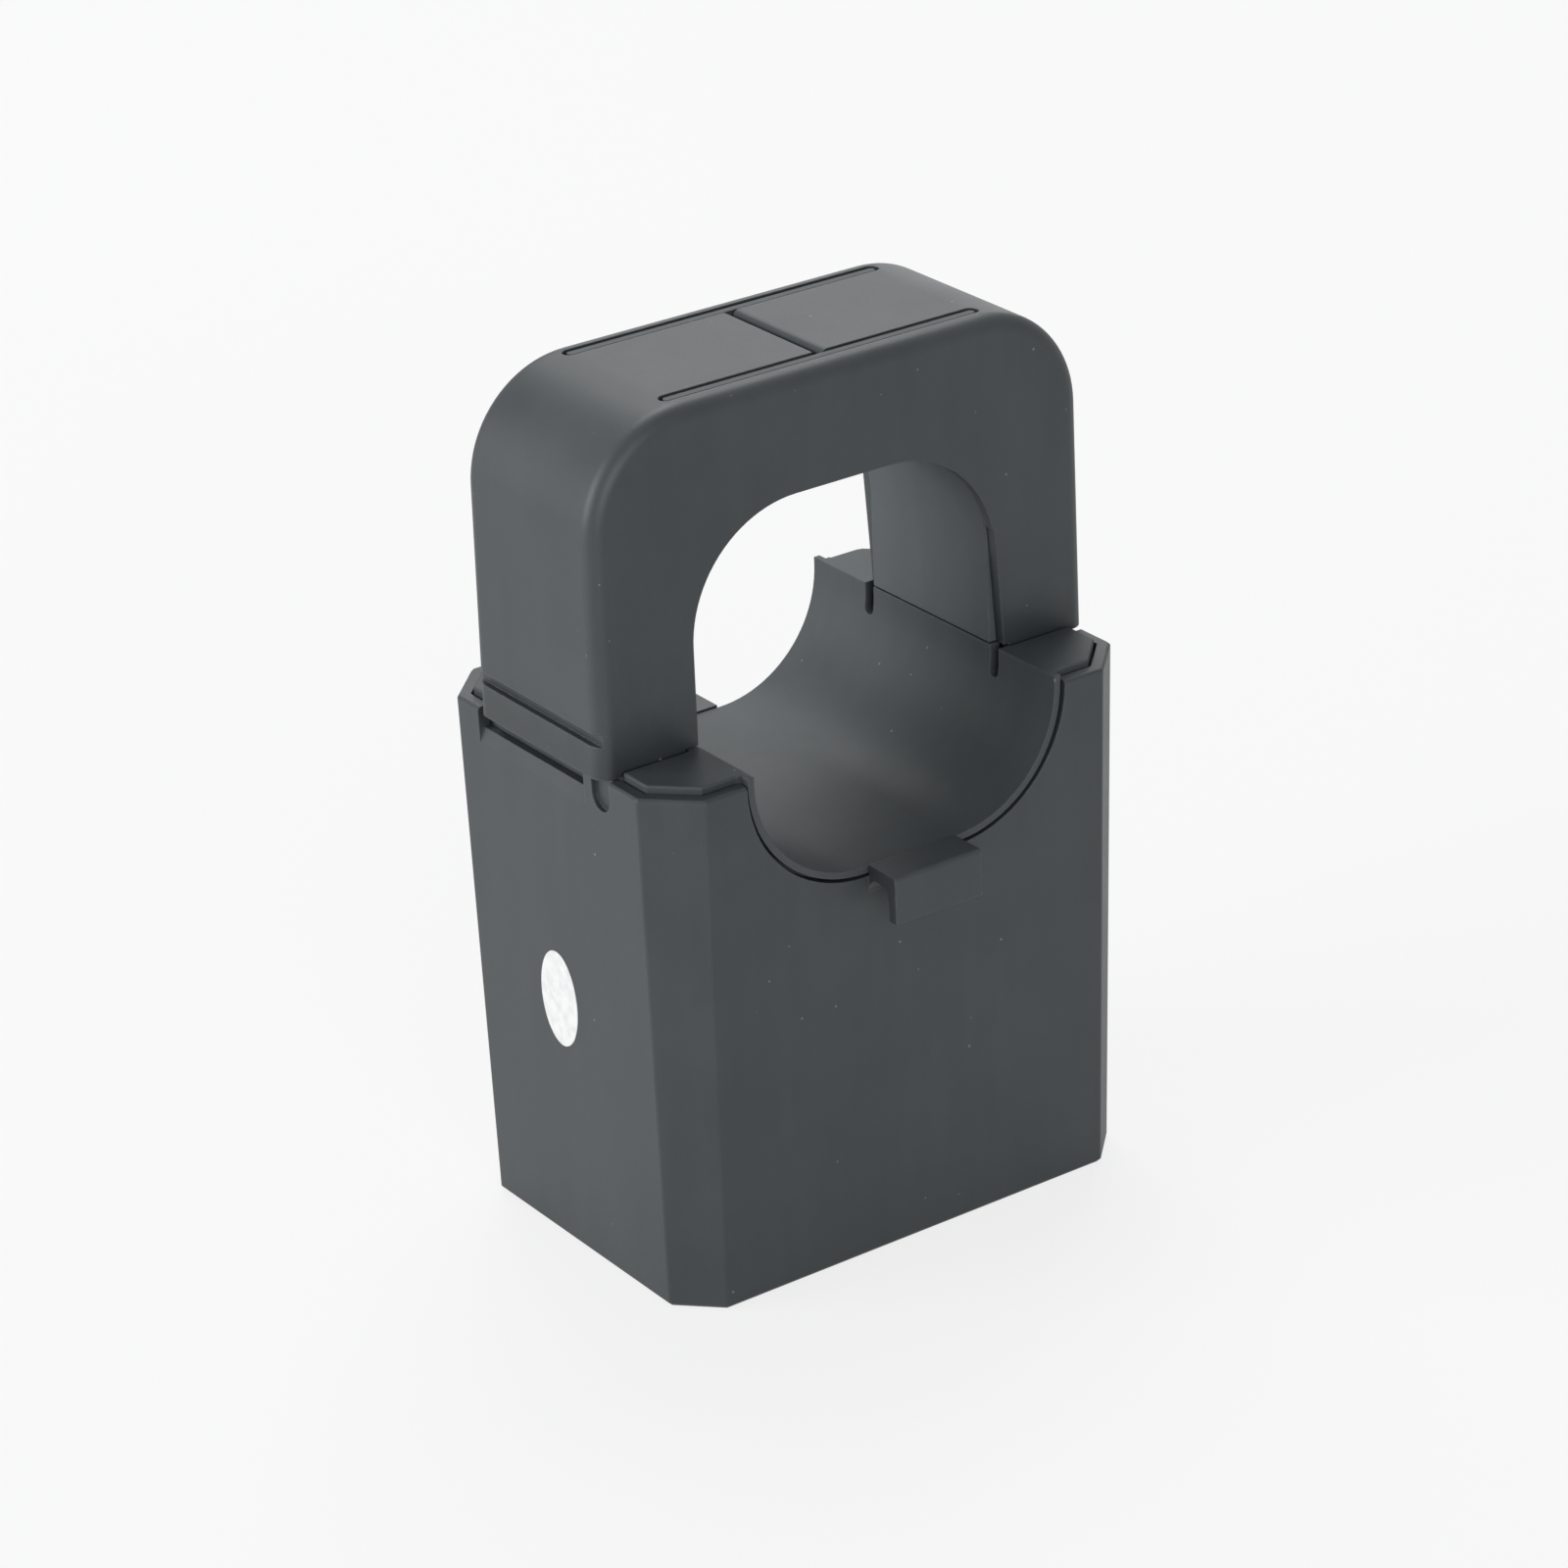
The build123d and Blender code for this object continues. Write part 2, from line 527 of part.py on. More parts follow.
# Yoke shell: rounded cap over the upper core, with two spring fingers cut in its top wall
with BuildPart() as yoke_shell:
    with BuildSketch(Plane.XZ) as cap:
        with BuildLine():
            Polyline(
                (-YOKE_W / 2, YOKE_FOOT),
                (YOKE_DRAFT - YOKE_W / 2, YOKE_TOP),
                (YOKE_W / 2 - YOKE_DRAFT, YOKE_TOP),
                (YOKE_W / 2, YOKE_FOOT),
                close=True,
            )
        make_face()
        fillet(cap.vertices().sort_by(Axis.Y)[-2:], YOKE_CORNER)
    extrude(amount=YOKE_D / 2, both=True)
    front_back = yoke_shell.faces().sort_by(Axis.Y)
    outline = front_back[0].edges() + front_back[-1].edges()
    fillet(outline.filter_by(lambda edge: edge.center().Z > YOKE_FOOT + STACK_GAP), YOKE_EDGE)
    with BuildSketch(Plane.XZ):
        with Locations((0, (CAVITY_TOP + YOKE_FOOT - CAVITY_W) / 2)):
            RectangleRounded(CAVITY_W, CAVITY_TOP - YOKE_FOOT + CAVITY_W, CAVITY_CORNER)
    extrude(amount=YOKE_INNER_Y, both=True, mode=Mode.SUBTRACT)
    with BuildSketch(Plane.XZ):
        window_profile(0)
    extrude(amount=YOKE_D, both=True, mode=Mode.SUBTRACT)
    box_between(
        (-WINDOW / 2, WINDOW / 2), (-YOKE_D, YOKE_D), (YOKE_FOOT - OVER, WINDOW_Z), Mode.SUBTRACT
    )
    # Front and back walls reach down into the pockets, stepped back from the trough
    for side_x in (-1, 1):
        for side_y in (-1, 1):
            box_between(
                sorted((side_x * LEG_INNER, side_x * PLUNGE_X)),
                (side_y * (YOKE_D / 2 - PLUNGE_T), side_y * YOKE_D / 2),
                (PLUNGE_LOW, YOKE_FOOT + SINK),
            )
            box_between(
                sorted((side_x * (WINDOW / 2 - OVER), side_x * LEG_INNER)),
                (side_y * (YOKE_INNER_Y - OVER), side_y * YOKE_D),
                (YOKE_FOOT - OVER, SADDLE_TOP + STEP_GAP),
                Mode.SUBTRACT,
            )
    # Hinge-side leg relieved towards its foot, which leaves a wedge-shaped slit beside the liner
    with BuildSketch(Plane.XZ):
        with BuildLine():
            Polyline(
                (WINDOW / 2 - OVER, RIM_Z + WEDGE_RISE),
                (WINDOW / 2, RIM_Z + WEDGE_RISE),
                (WINDOW / 2 + WEDGE_W, SADDLE_TOP),
                (WINDOW / 2 - OVER, SADDLE_TOP),
                close=True,
            )
        make_face()
    extrude(amount=YOKE_D, both=True, mode=Mode.SUBTRACT)
    # Shadow groove above the latch band
    box_between(
        (-YOKE_W, -YOKE_W / 2 + GROOVE_DEPTH), (-YOKE_D, YOKE_D), (GROOVE_LOW, GROOVE_TOP), Mode.SUBTRACT
    )
    # Latch tongue with its tooth
    tongue_y = (-TONGUE_HALF_Y, TONGUE_HALF_Y)
    box_between((-TONGUE_OUT, -TONGUE_IN), tongue_y, (TONGUE_LOW, GROOVE_LOW))
    box_between((-CAVITY_W / 2 - SINK, -TONGUE_IN), tongue_y, (GROOVE_LOW - TONGUE_ROOT_H, GROOVE_LOW))
    with BuildSketch(Plane.XZ.offset(-TONGUE_HALF_Y)):
        with BuildLine():
            Polyline(
                (-TONGUE_OUT, TONGUE_LOW),
                (-TONGUE_OUT, TONGUE_LOW + TOOTH_H),
                (-TONGUE_OUT - TOOTH_REACH, TONGUE_LOW + TOOTH_H),
                (-TONGUE_OUT - TOOTH_REACH, TONGUE_LOW + TOOTH_H / 2),
                close=True,
            )
        make_face()
    extrude(amount=2 * TONGUE_HALF_Y)
    # Hinge side: wall cut back around the lugs, knuckle on its arm, hole for fitting the pin
    box_between(
        (CAVITY_W / 2 - HINGE_BAY, YOKE_W),
        (-YOKE_INNER_Y, YOKE_INNER_Y),
        (YOKE_FOOT - OVER, GROOVE_TOP),
        Mode.SUBTRACT,
    )
    box_between(
        (CAVITY_W / 2 - SINK, PIVOT_X + KNUCKLE_R - WEB_GAP),
        (-KNUCKLE_Y, KNUCKLE_Y),
        (PIVOT_Z, GROOVE_TOP + SINK),
    )
    with BuildSketch(Plane.XZ):
        with Locations((PIVOT_X, PIVOT_Z)):
            Circle(KNUCKLE_R)
    extrude(amount=KNUCKLE_Y, both=True)
    with BuildSketch(Plane.XZ.offset(KNUCKLE_Y + OVER)):
        with Locations((PIVOT_X, PIVOT_Z)):
            Circle(PIN_R + PIN_RUNNING)
    extrude(amount=-(KNUCKLE_Y + OVER + YOKE_D), mode=Mode.SUBTRACT)
    # Slots and cross gap that free the two spring fingers, and their pads on the core
    with BuildSketch(Plane.XY.offset(CAVITY_TOP - OVER)):
        for side_y in (-1, 1):
            with Locations((0, side_y * SLOT_Y)):
                SlotOverall(SLOT_LEN, SLOT_W)
        Rectangle(CROSS_GAP, 2 * SLOT_Y)
    extrude(amount=YOKE_TOP_T + 2 * OVER, mode=Mode.SUBTRACT)
    banks = yoke_shell.edges().filter_by(Axis.Y).filter_by_position(Axis.X, 0, CROSS_GAP)
    fillet(banks.sort_by(Axis.Z)[-1], FINGER_ROUND)
    for side_x in (-1, 1):
        pad_x = sorted((side_x * (PAD_X - PAD_W / 2), side_x * (PAD_X + PAD_W / 2)))
        pad_y = (PAD_SIDE_GAP - SLOT_Y, SLOT_Y - PAD_SIDE_GAP)
        box_between(pad_x, pad_y, (CORE_OUT_TOP, CAVITY_TOP + SINK))
yoke_shell.part.label = "yoke_shell"

# Yoke liner: channel that lines the window and holds the upper core from inside
with BuildPart() as yoke_liner:
    with BuildSketch(Plane.XZ):
        window_profile(WEB_T)
    extrude(amount=WEB_Y, both=True)
    for side_y in (-1, 1):
        with BuildSketch(Plane.XZ.offset(-side_y * (SLOT_Y - FLANGE_T / 2))):
            with Locations((0, (FLANGE_TOP + WEB_FOOT - FLANGE_W) / 2)):
                RectangleRounded(FLANGE_W, FLANGE_TOP - WEB_FOOT + FLANGE_W, CAVITY_CORNER - FLANGE_GAP)
            rib_low = FLANGE_TOP - OVER
            rib_top = YOKE_TOP - RIB_RECESS
            with Locations((0, (rib_low + rib_top) / 2)):
                Rectangle(SLOT_LEN - 2 * RIB_END_GAP, rib_top - rib_low)
        extrude(amount=-side_y * FLANGE_T)
    with BuildSketch(Plane.XZ):
        window_profile(0)
    extrude(amount=YOKE_D, both=True, mode=Mode.SUBTRACT)
    box_between((-WINDOW / 2, WINDOW / 2), (-YOKE_D, YOKE_D), (0, WINDOW_Z), Mode.SUBTRACT)
    # Feet of the web and of the flanges
    box_between((-YOKE_W, YOKE_W), (-YOKE_D, YOKE_D), (-YOKE_W, PARTING_Z + WEB_FOOT_GAP), Mode.SUBTRACT)
    for side_x in (-1, 1):
        box_between(
            sorted((side_x * (WINDOW / 2 - OVER), side_x * CORE_IN_W / 2)),
            (-YOKE_D, YOKE_D),
            (0, WEB_FOOT),
            Mode.SUBTRACT,
        )
        box_between(
            sorted((side_x * (CORE_OUT_W / 2 + CORE_SIDE_GAP), side_x * YOKE_W)),
            (-YOKE_D, YOKE_D),
            (0, GROOVE_TOP + SINK),
            Mode.SUBTRACT,
        )
yoke_liner.part.label = "yoke_liner"

# Upper and lower halves of the cut core, with rounded corners
with BuildPart() as upper_core:
    with BuildSketch(Plane.XZ):
        with Locations((0, CORE_Z)):
            RectangleRounded(CORE_OUT_W, CORE_OUT_TOP - CORE_LOW, CORE_RADIUS + CORE_T)
            RectangleRounded(CORE_IN_W, CORE_IN_TOP - CORE_IN_LOW, CORE_RADIUS, mode=Mode.SUBTRACT)
    extrude(amount=CORE_D / 2, both=True)
    split(bisect_by=Plane.XY.offset(PARTING_Z + PARTING_GAP / 2), keep=Keep.TOP)
upper_core.part.label = "upper_core"

with BuildPart() as lower_core:
    with BuildSketch(Plane.XZ):
        with Locations((0, CORE_Z)):
            RectangleRounded(CORE_OUT_W, CORE_OUT_TOP - CORE_LOW, CORE_RADIUS + CORE_T)
            RectangleRounded(CORE_IN_W, CORE_IN_TOP - CORE_IN_LOW, CORE_RADIUS, mode=Mode.SUBTRACT)
    extrude(amount=CORE_D / 2, both=True)
    split(bisect_by=Plane.XY.offset(PARTING_Z - PARTING_GAP / 2), keep=Keep.BOTTOM)
lower_core.part.label = "lower_core"

# Bobbin on the lower limb of the core
with BuildPart() as bobbin:
    with BuildSketch(Plane.YZ.offset(-BOBBIN_X)):
        with Locations((0, LIMB_Z)):
            Rectangle(2 * (TUBE_Y + TUBE_T), 2 * (TUBE_Z + TUBE_T))
    extrude(amount=2 * BOBBIN_X)
    for flange_x in (-BOBBIN_X, COIL_X):
        with BuildSketch(Plane.YZ.offset(flange_x)):
            with Locations((0, LIMB_Z)):
                RectangleRounded(2 * FLANGE_HALF_Y, 2 * FLANGE_HALF_Z, BOBBIN_CORNER)
        extrude(amount=BOBBIN_FLANGE)
    with BuildSketch(Plane.YZ.offset(-BOBBIN_X)):
        with Locations((0, LIMB_Z)):
            Rectangle(2 * TUBE_Y, 2 * TUBE_Z)
    extrude(amount=2 * BOBBIN_X, mode=Mode.SUBTRACT)
    with BuildSketch(Plane.YZ.offset(COIL_X)):
        with Locations((-CONTACT_Y, CONTACT_Z), (CONTACT_Y, CONTACT_Z)):
            Rectangle(2 * (CONTACT_HALF + PIN_PRESS), 2 * (CONTACT_HALF + PIN_PRESS))
    extrude(amount=BOBBIN_FLANGE, mode=Mode.SUBTRACT)
bobbin.part.label = "bobbin"

# Secondary winding between the flanges, and the tape around it
with BuildPart() as winding:
    with BuildSketch(Plane.YZ.offset(-COIL_X)):
        with Locations((0, LIMB_Z)):
            RectangleRounded(2 * COIL_HALF_Y, 2 * COIL_HALF_Z, COIL_RADIUS)
            Rectangle(2 * (TUBE_Y + TUBE_T), 2 * (TUBE_Z + TUBE_T), mode=Mode.SUBTRACT)
    extrude(amount=2 * COIL_X)
winding.part.label = "winding"

with BuildPart() as winding_tape:
    with BuildSketch(Plane.YZ.offset(-COIL_X)):
        with Locations((0, LIMB_Z)):
            RectangleRounded(2 * (COIL_HALF_Y + TAPE_T), 2 * (COIL_HALF_Z + TAPE_T), COIL_RADIUS + TAPE_T)
            RectangleRounded(2 * COIL_HALF_Y, 2 * COIL_HALF_Z, COIL_RADIUS, mode=Mode.SUBTRACT)
    extrude(amount=2 * COIL_X)
winding_tape.part.label = "winding_tape"

# Contact pins of the bobbin, soldered into the circuit board
contact_pins = {}
for name, side_y in (("contact_pin_front", -1), ("contact_pin_back", 1)):
    with BuildPart() as contact_pin:
        with BuildSketch(Plane.YZ.offset(COIL_X)):
            with Locations((side_y * CONTACT_Y, CONTACT_Z)):
                Rectangle(2 * CONTACT_HALF, 2 * CONTACT_HALF)
        extrude(amount=BOARD_FACE + LEAD_OUT - COIL_X)
    contact_pin.part.label = name
    contact_pins[name] = contact_pin

# Circuit board, standing in the housing's guides
with BuildPart() as circuit_board:
    box_between((BOARD_X, BOARD_FACE), (-BOARD_HALF_Y, BOARD_HALF_Y), (BOARD_LOW, BOARD_TOP))
    with BuildSketch(Plane.YZ.offset(BOARD_X)):
        with Locations((-CONTACT_Y, CONTACT_Z), (CONTACT_Y, CONTACT_Z)):
            Rectangle(2 * (CONTACT_HALF + HOLE_CLEAR), 2 * (CONTACT_HALF + HOLE_CLEAR))
        for part_y, pitch in ((PART_Y, RESISTOR_PITCH), (-PART_Y, DIODE_PITCH)):
            with Locations((part_y, PART_Z - pitch / 2), (part_y, PART_Z + pitch / 2)):
                Rectangle(2 * (LEAD_HALF + HOLE_CLEAR), 2 * (LEAD_HALF + HOLE_CLEAR))
        with Locations((-TERMINAL_Y, TAIL_Z), (TERMINAL_Y, TAIL_Z)):
            Rectangle(2 * (TAIL_HALF + HOLE_CLEAR), 2 * (TAIL_HALF + HOLE_CLEAR))
    extrude(amount=BOARD_T, mode=Mode.SUBTRACT)
circuit_board.part.label = "circuit_board"


def leaded_part(y, body_r, body_half, pitch):
    """An upright axial component: round body and two leads bent back through the board."""
    body_x = BOARD_FACE + body_r + PART_GAP
    lead_y = (y - LEAD_HALF, y + LEAD_HALF)
    with Locations((body_x, y, PART_Z)):
        Cylinder(body_r, 2 * body_half)
        Box(2 * LEAD_HALF, 2 * LEAD_HALF, pitch)
    for lead_z in (PART_Z - pitch / 2, PART_Z + pitch / 2):
        box_between((LEAD_TIP, body_x + LEAD_HALF), lead_y, (lead_z - LEAD_HALF, lead_z + LEAD_HALF))


# Burden resistor and suppressor diode across the output
with BuildPart() as burden_resistor:
    leaded_part(PART_Y, RESISTOR_R, RESISTOR_HALF, RESISTOR_PITCH)
burden_resistor.part.label = "burden_resistor"

with BuildPart() as suppressor_diode:
    leaded_part(-PART_Y, DIODE_R, DIODE_HALF, DIODE_PITCH)
suppressor_diode.part.label = "suppressor_diode"

# Terminal block with two open bays and a barrier between them
with BuildPart() as terminal_block:
    box_between(
        (BOARD_FACE, INNER_X),
        (-BLOCK_HALF_Y, BLOCK_HALF_Y),
        (TERMINAL_Z - BLOCK_HALF_Z, TERMINAL_Z + BLOCK_HALF_Z),
    )
    for centre_y in (-TERMINAL_Y, TERMINAL_Y):
        box_between(
            (BAY_FLOOR_X, INNER_X + OVER),
            (centre_y - BAY_HALF_Y, centre_y + BAY_HALF_Y),
            (TERMINAL_Z - BAY_HALF_Z, TERMINAL_Z + BAY_HALF_Z),
            Mode.SUBTRACT,
        )
        passage = TAIL_HALF + TAIL_CLEAR
        box_between(
            (BOARD_FACE - OVER, BAY_FLOOR_X + OVER),
            (centre_y - passage, centre_y + passage),
            (TAIL_Z - passage, TAIL_Z + passage),
            Mode.SUBTRACT,
        )
    with BuildSketch(Plane.YZ.offset(SCREW_TIP_X - SCREW_CLEAR)):
        with Locations((-TERMINAL_Y, TERMINAL_Z), (TERMINAL_Y, TERMINAL_Z)):
            Circle(SCREW_R + SCREW_CLEAR)
    extrude(amount=SCREW_PAST_PLATE + SCREW_CLEAR, mode=Mode.SUBTRACT)
    chamfer(terminal_block.faces().sort_by(Axis.X)[-1].edges(), BLOCK_EDGE)
terminal_block.part.label = "terminal_block"

# Terminal plates, clamp washers and screws, one set in each bay
plate_face = BAY_FLOOR_X + PLATE_THICK
washer_back = plate_face + STACK_GAP
head_back = washer_back + WASHER_THICK + STACK_GAP
terminal_parts = {}
for place, side_y in (("front", -1), ("back", 1)):
    centre_y = side_y * TERMINAL_Y
    with BuildPart() as terminal_plate:
        box_between(
            (BAY_FLOOR_X, plate_face),
            (centre_y - PLATE_HALF_Y, centre_y + PLATE_HALF_Y),
            (TERMINAL_Z - PLATE_HALF_Z, TERMINAL_Z + PLATE_HALF_Z),
        )
        box_between(
            (LEAD_TIP, BAY_FLOOR_X),
            (centre_y - TAIL_HALF, centre_y + TAIL_HALF),
            (TAIL_Z - TAIL_HALF, TAIL_Z + TAIL_HALF),
        )
        with BuildSketch(Plane.YZ.offset(BAY_FLOOR_X)):
            with Locations((centre_y, TERMINAL_Z)):
                Circle(SCREW_R + PIN_RUNNING)
        extrude(amount=PLATE_THICK, mode=Mode.SUBTRACT)
    terminal_plate.part.label = "terminal_plate_" + place
    with BuildPart() as clamp_washer:
        with BuildSketch(Plane.YZ.offset(washer_back)) as square:
            with Locations((centre_y, TERMINAL_Z)):
                Rectangle(WASHER_SIZE, WASHER_SIZE)
            chamfer(square.vertices(), WASHER_CORNER)
            with Locations((centre_y, TERMINAL_Z)):
                Circle(SCREW_R + PIN_RUNNING, mode=Mode.SUBTRACT)
        extrude(amount=WASHER_THICK)
    clamp_washer.part.label = "clamp_washer_" + place
    with BuildPart() as terminal_screw:
        with BuildSketch(Plane.YZ.offset(SCREW_TIP_X)):
            with Locations((centre_y, TERMINAL_Z)):
                Circle(SCREW_R)
        extrude(amount=head_back - SCREW_TIP_X)
        with BuildSketch(Plane.YZ.offset(head_back)):
            with Locations((centre_y, TERMINAL_Z)):
                Circle(HEAD_R)
        extrude(amount=HEAD_H)
        chamfer(terminal_screw.edges().filter_by(GeomType.CIRCLE).sort_by(Axis.X)[-1], HEAD_CHAMFER)
        with BuildSketch(Plane.YZ.offset(head_back + HEAD_H)):
            with Locations((centre_y, TERMINAL_Z)):
                Rectangle(CROSS_L, CROSS_W)
                Rectangle(CROSS_W, CROSS_L)
        extrude(amount=-CROSS_DEPTH, mode=Mode.SUBTRACT)
    terminal_screw.part.label = "terminal_screw_" + place
    for piece in (terminal_plate, clamp_washer, terminal_screw):
        terminal_parts[piece.part.label] = piece

os.makedirs("parts", exist_ok=True)
export_step(housing.part, "parts/housing.step")
export_step(saddle.part, "parts/saddle.step")
export_step(hinge_pin.part, "parts/hinge_pin.step")
export_step(yoke_shell.part, "parts/yoke_shell.step")
export_step(yoke_liner.part, "parts/yoke_liner.step")
export_step(upper_core.part, "parts/upper_core.step")
export_step(lower_core.part, "parts/lower_core.step")
export_step(bobbin.part, "parts/bobbin.step")
export_step(winding.part, "parts/winding.step")
export_step(winding_tape.part, "parts/winding_tape.step")
export_step(circuit_board.part, "parts/circuit_board.step")
export_step(burden_resistor.part, "parts/burden_resistor.step")
export_step(suppressor_diode.part, "parts/suppressor_diode.step")
export_step(terminal_block.part, "parts/terminal_block.step")
for name, piece in {**contact_pins, **terminal_parts}.items():
    export_step(piece.part, "parts/" + name + ".step")
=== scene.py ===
import math

import bpy
from mathutils import Matrix, Vector


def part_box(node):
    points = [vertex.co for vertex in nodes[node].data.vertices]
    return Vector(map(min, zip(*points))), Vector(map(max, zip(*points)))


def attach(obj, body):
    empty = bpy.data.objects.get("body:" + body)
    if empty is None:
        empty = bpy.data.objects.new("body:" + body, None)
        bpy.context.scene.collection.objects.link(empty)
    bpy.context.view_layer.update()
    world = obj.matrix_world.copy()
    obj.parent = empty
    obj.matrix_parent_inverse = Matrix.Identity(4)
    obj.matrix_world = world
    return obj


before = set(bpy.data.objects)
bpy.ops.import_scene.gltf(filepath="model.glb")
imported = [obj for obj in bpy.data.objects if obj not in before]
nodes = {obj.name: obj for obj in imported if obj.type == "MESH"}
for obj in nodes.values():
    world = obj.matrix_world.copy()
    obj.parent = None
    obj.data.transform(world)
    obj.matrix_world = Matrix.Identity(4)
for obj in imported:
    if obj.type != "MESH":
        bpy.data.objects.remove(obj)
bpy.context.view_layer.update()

# Camera: a long lens in front of the latch side, 25 degrees above the level, as the photograph was
# taken. It is rolled a little over two degrees, as the photograph is.
MM = 0.001
AZIMUTH = math.radians(34.67)
ELEVATION = math.radians(24.777)
ROLL = math.radians(-2.341)
DISTANCE = 528.85 * MM
SENSOR_WIDTH = 36.0
PHOTO_PIXELS = 1600
FOCAL_PIXELS = 5418
SHIFT_X_PIXELS = -5.6
SHIFT_Y_PIXELS = -18.5
target = Vector((0, 0, 45 * MM))
back = Vector((
    -math.sin(AZIMUTH) * math.cos(ELEVATION),
    -math.cos(AZIMUTH) * math.cos(ELEVATION),
    math.sin(ELEVATION),
))
level = Vector((0, 0, 1)).cross(back).normalized()
upright = back.cross(level)
right = math.cos(ROLL) * level + math.sin(ROLL) * upright
up = -math.sin(ROLL) * level + math.cos(ROLL) * upright
camera = bpy.data.objects.new("camera", bpy.data.cameras.new("camera"))
bpy.context.collection.objects.link(camera)
turn = Matrix((right, up, back)).transposed().to_4x4()
camera.matrix_world = Matrix.Translation(target + DISTANCE * back) @ turn
camera.data.sensor_width = SENSOR_WIDTH
camera.data.lens = SENSOR_WIDTH * FOCAL_PIXELS / PHOTO_PIXELS
camera.data.shift_x = SHIFT_X_PIXELS / PHOTO_PIXELS
camera.data.shift_y = SHIFT_Y_PIXELS / PHOTO_PIXELS
camera.data.clip_start = 0.01
bpy.context.scene.camera = camera

# Floor and studio: a pale floor in an even pale room, shown nearly white to the camera and half white
# in reflections. Four soft lamps light the object: one above and behind, a weak one low behind, one at
# the latch side and one in front.


class Term:
    """One value of a shader; arithmetic on it adds Math nodes."""

    def __init__(self, shading, socket):
        self.shading = shading
        self.socket = socket

    def maths(self, operation, *others):
        return self.shading.maths(operation, self, *others)

    def __add__(self, other):
        return self.maths("ADD", other)

    def __radd__(self, other):
        return self.shading.maths("ADD", other, self)

    def __sub__(self, other):
        return self.maths("SUBTRACT", other)

    def __rsub__(self, other):
        return self.shading.maths("SUBTRACT", other, self)

    def __mul__(self, other):
        return self.maths("MULTIPLY", other)

    def __rmul__(self, other):
        return self.shading.maths("MULTIPLY", other, self)

    def __pow__(self, other):
        return self.maths("POWER", other)

    def __abs__(self):
        return self.maths("ABSOLUTE")

    def over(self, low, high):
        """0 below low, 1 above high, smooth between."""
        settings = {"interpolation_type": "SMOOTHSTEP"}
        inputs = {"Value": self, "From Min": low, "From Max": high}
        return self.shading.node("ShaderNodeMapRange", settings, inputs)


class Shading:
    """The nodes of one material or world."""

    def __init__(self, tree):
        self.tree = tree

    def node(self, kind, settings, inputs, output=0):
        made = self.tree.nodes.new(kind)
        for key, value in settings.items():
            setattr(made, key, value)
        for key, value in inputs.items():
            if isinstance(value, Term):
                self.tree.links.new(value.socket, made.inputs[key])
            else:
                made.inputs[key].default_value = value
        return Term(self, made.outputs[output])

    def maths(self, operation, *values):
        return self.node("ShaderNodeMath", {"operation": operation}, dict(enumerate(values)))

    def backdrop(self, plain, white, camera_share, reflected_share=0.5):
        """plain where it lights the object, with a share of white where the camera or a mirror sees it."""
        def ray(kind):
            return self.node("ShaderNodeLightPath", {}, {}, "Is " + kind + " Ray")

        share = ray("Camera") * camera_share + (ray("Glossy") + ray("Transmission")) * reflected_share
        return self.node("ShaderNodeMixShader", {}, {0: share, 1: plain, 2: white})

    def show(self, output, term):
        self.tree.links.new(term.socket, self.tree.nodes[output].inputs["Surface"])


class Finish(Shading):
    """A material: a Principled surface and the nodes that vary it, measured in millimetres."""

    def __init__(self, name, **surface):
        self.material = bpy.data.materials.new(name)
        self.material.use_nodes = True
        super().__init__(self.material.node_tree)
        self.surface = self.tree.nodes["Principled BSDF"]
        for socket, value in surface.items():
            self.surface.inputs[socket.replace("_", " ")].default_value = value
        metres = self.node("ShaderNodeTexCoord", {}, {}, "Object")
        inputs = {"Vector": metres, "Scale": 1 / MM}
        self.place = self.node("ShaderNodeVectorMath", {"operation": "SCALE"}, inputs)

    def noise(self, per_mm, detail=2.0, stretch=(1, 1, 1)):
        spot = self.place
        if stretch != (1, 1, 1):
            spot = self.node("ShaderNodeVectorMath", {"operation": "MULTIPLY"}, {0: spot, 1: stretch})
        inputs = {"Vector": spot, "Scale": per_mm, "Detail": detail}
        return self.node("ShaderNodeTexNoise", {}, inputs, "Fac")

    def axis(self, letter):
        return self.node("ShaderNodeSeparateXYZ", {}, {"Vector": self.place}, letter)

    def waves(self, along, pitch):
        """A sine, -1 to 1, that repeats every pitch millimetres of along."""
        return (along * (2 * math.pi / pitch)).maths("SINE")

    def mix(self, share, low, high):
        """A colour between low and high; the node has them on inputs 6 and 7, the result on output 2."""
        inputs = {"Factor": share}
        for colour_input, value in ((6, low), (7, high)):
            inputs[colour_input] = value if isinstance(value, Term) else (*value, 1)
        return self.node("ShaderNodeMix", {"data_type": "RGBA"}, inputs, 2)

    def feed(self, **sockets):
        for socket, term in sockets.items():
            self.tree.links.new(term.socket, self.surface.inputs[socket.replace("_", " ")])

    def soft_edges(self, radius_mm):
        return self.node("ShaderNodeBevel", {"samples": 4}, {"Radius": radius_mm * MM})

    def edge_mask(self, radius_mm):
        """1 along the edges, 0 on open faces."""
        normals = {0: self.soft_edges(radius_mm), 1: self.node("ShaderNodeNewGeometry", {}, {}, "Normal")}
        facing = self.node("ShaderNodeVectorMath", {"operation": "DOT_PRODUCT"}, normals, "Value")
        return (1 - facing).over(0.02, 0.25)

    def bump(self, height, depth_mm, strength=1.0, normal=None):
        inputs = {"Height": height, "Distance": depth_mm * MM, "Strength": strength}
        if normal is not None:
            inputs["Normal"] = normal
        self.feed(Normal=self.node("ShaderNodeBump", {}, inputs))

    def dress(self, *pieces):
        for piece in pieces:
            piece.data.materials.clear()
            piece.data.materials.append(self.material)


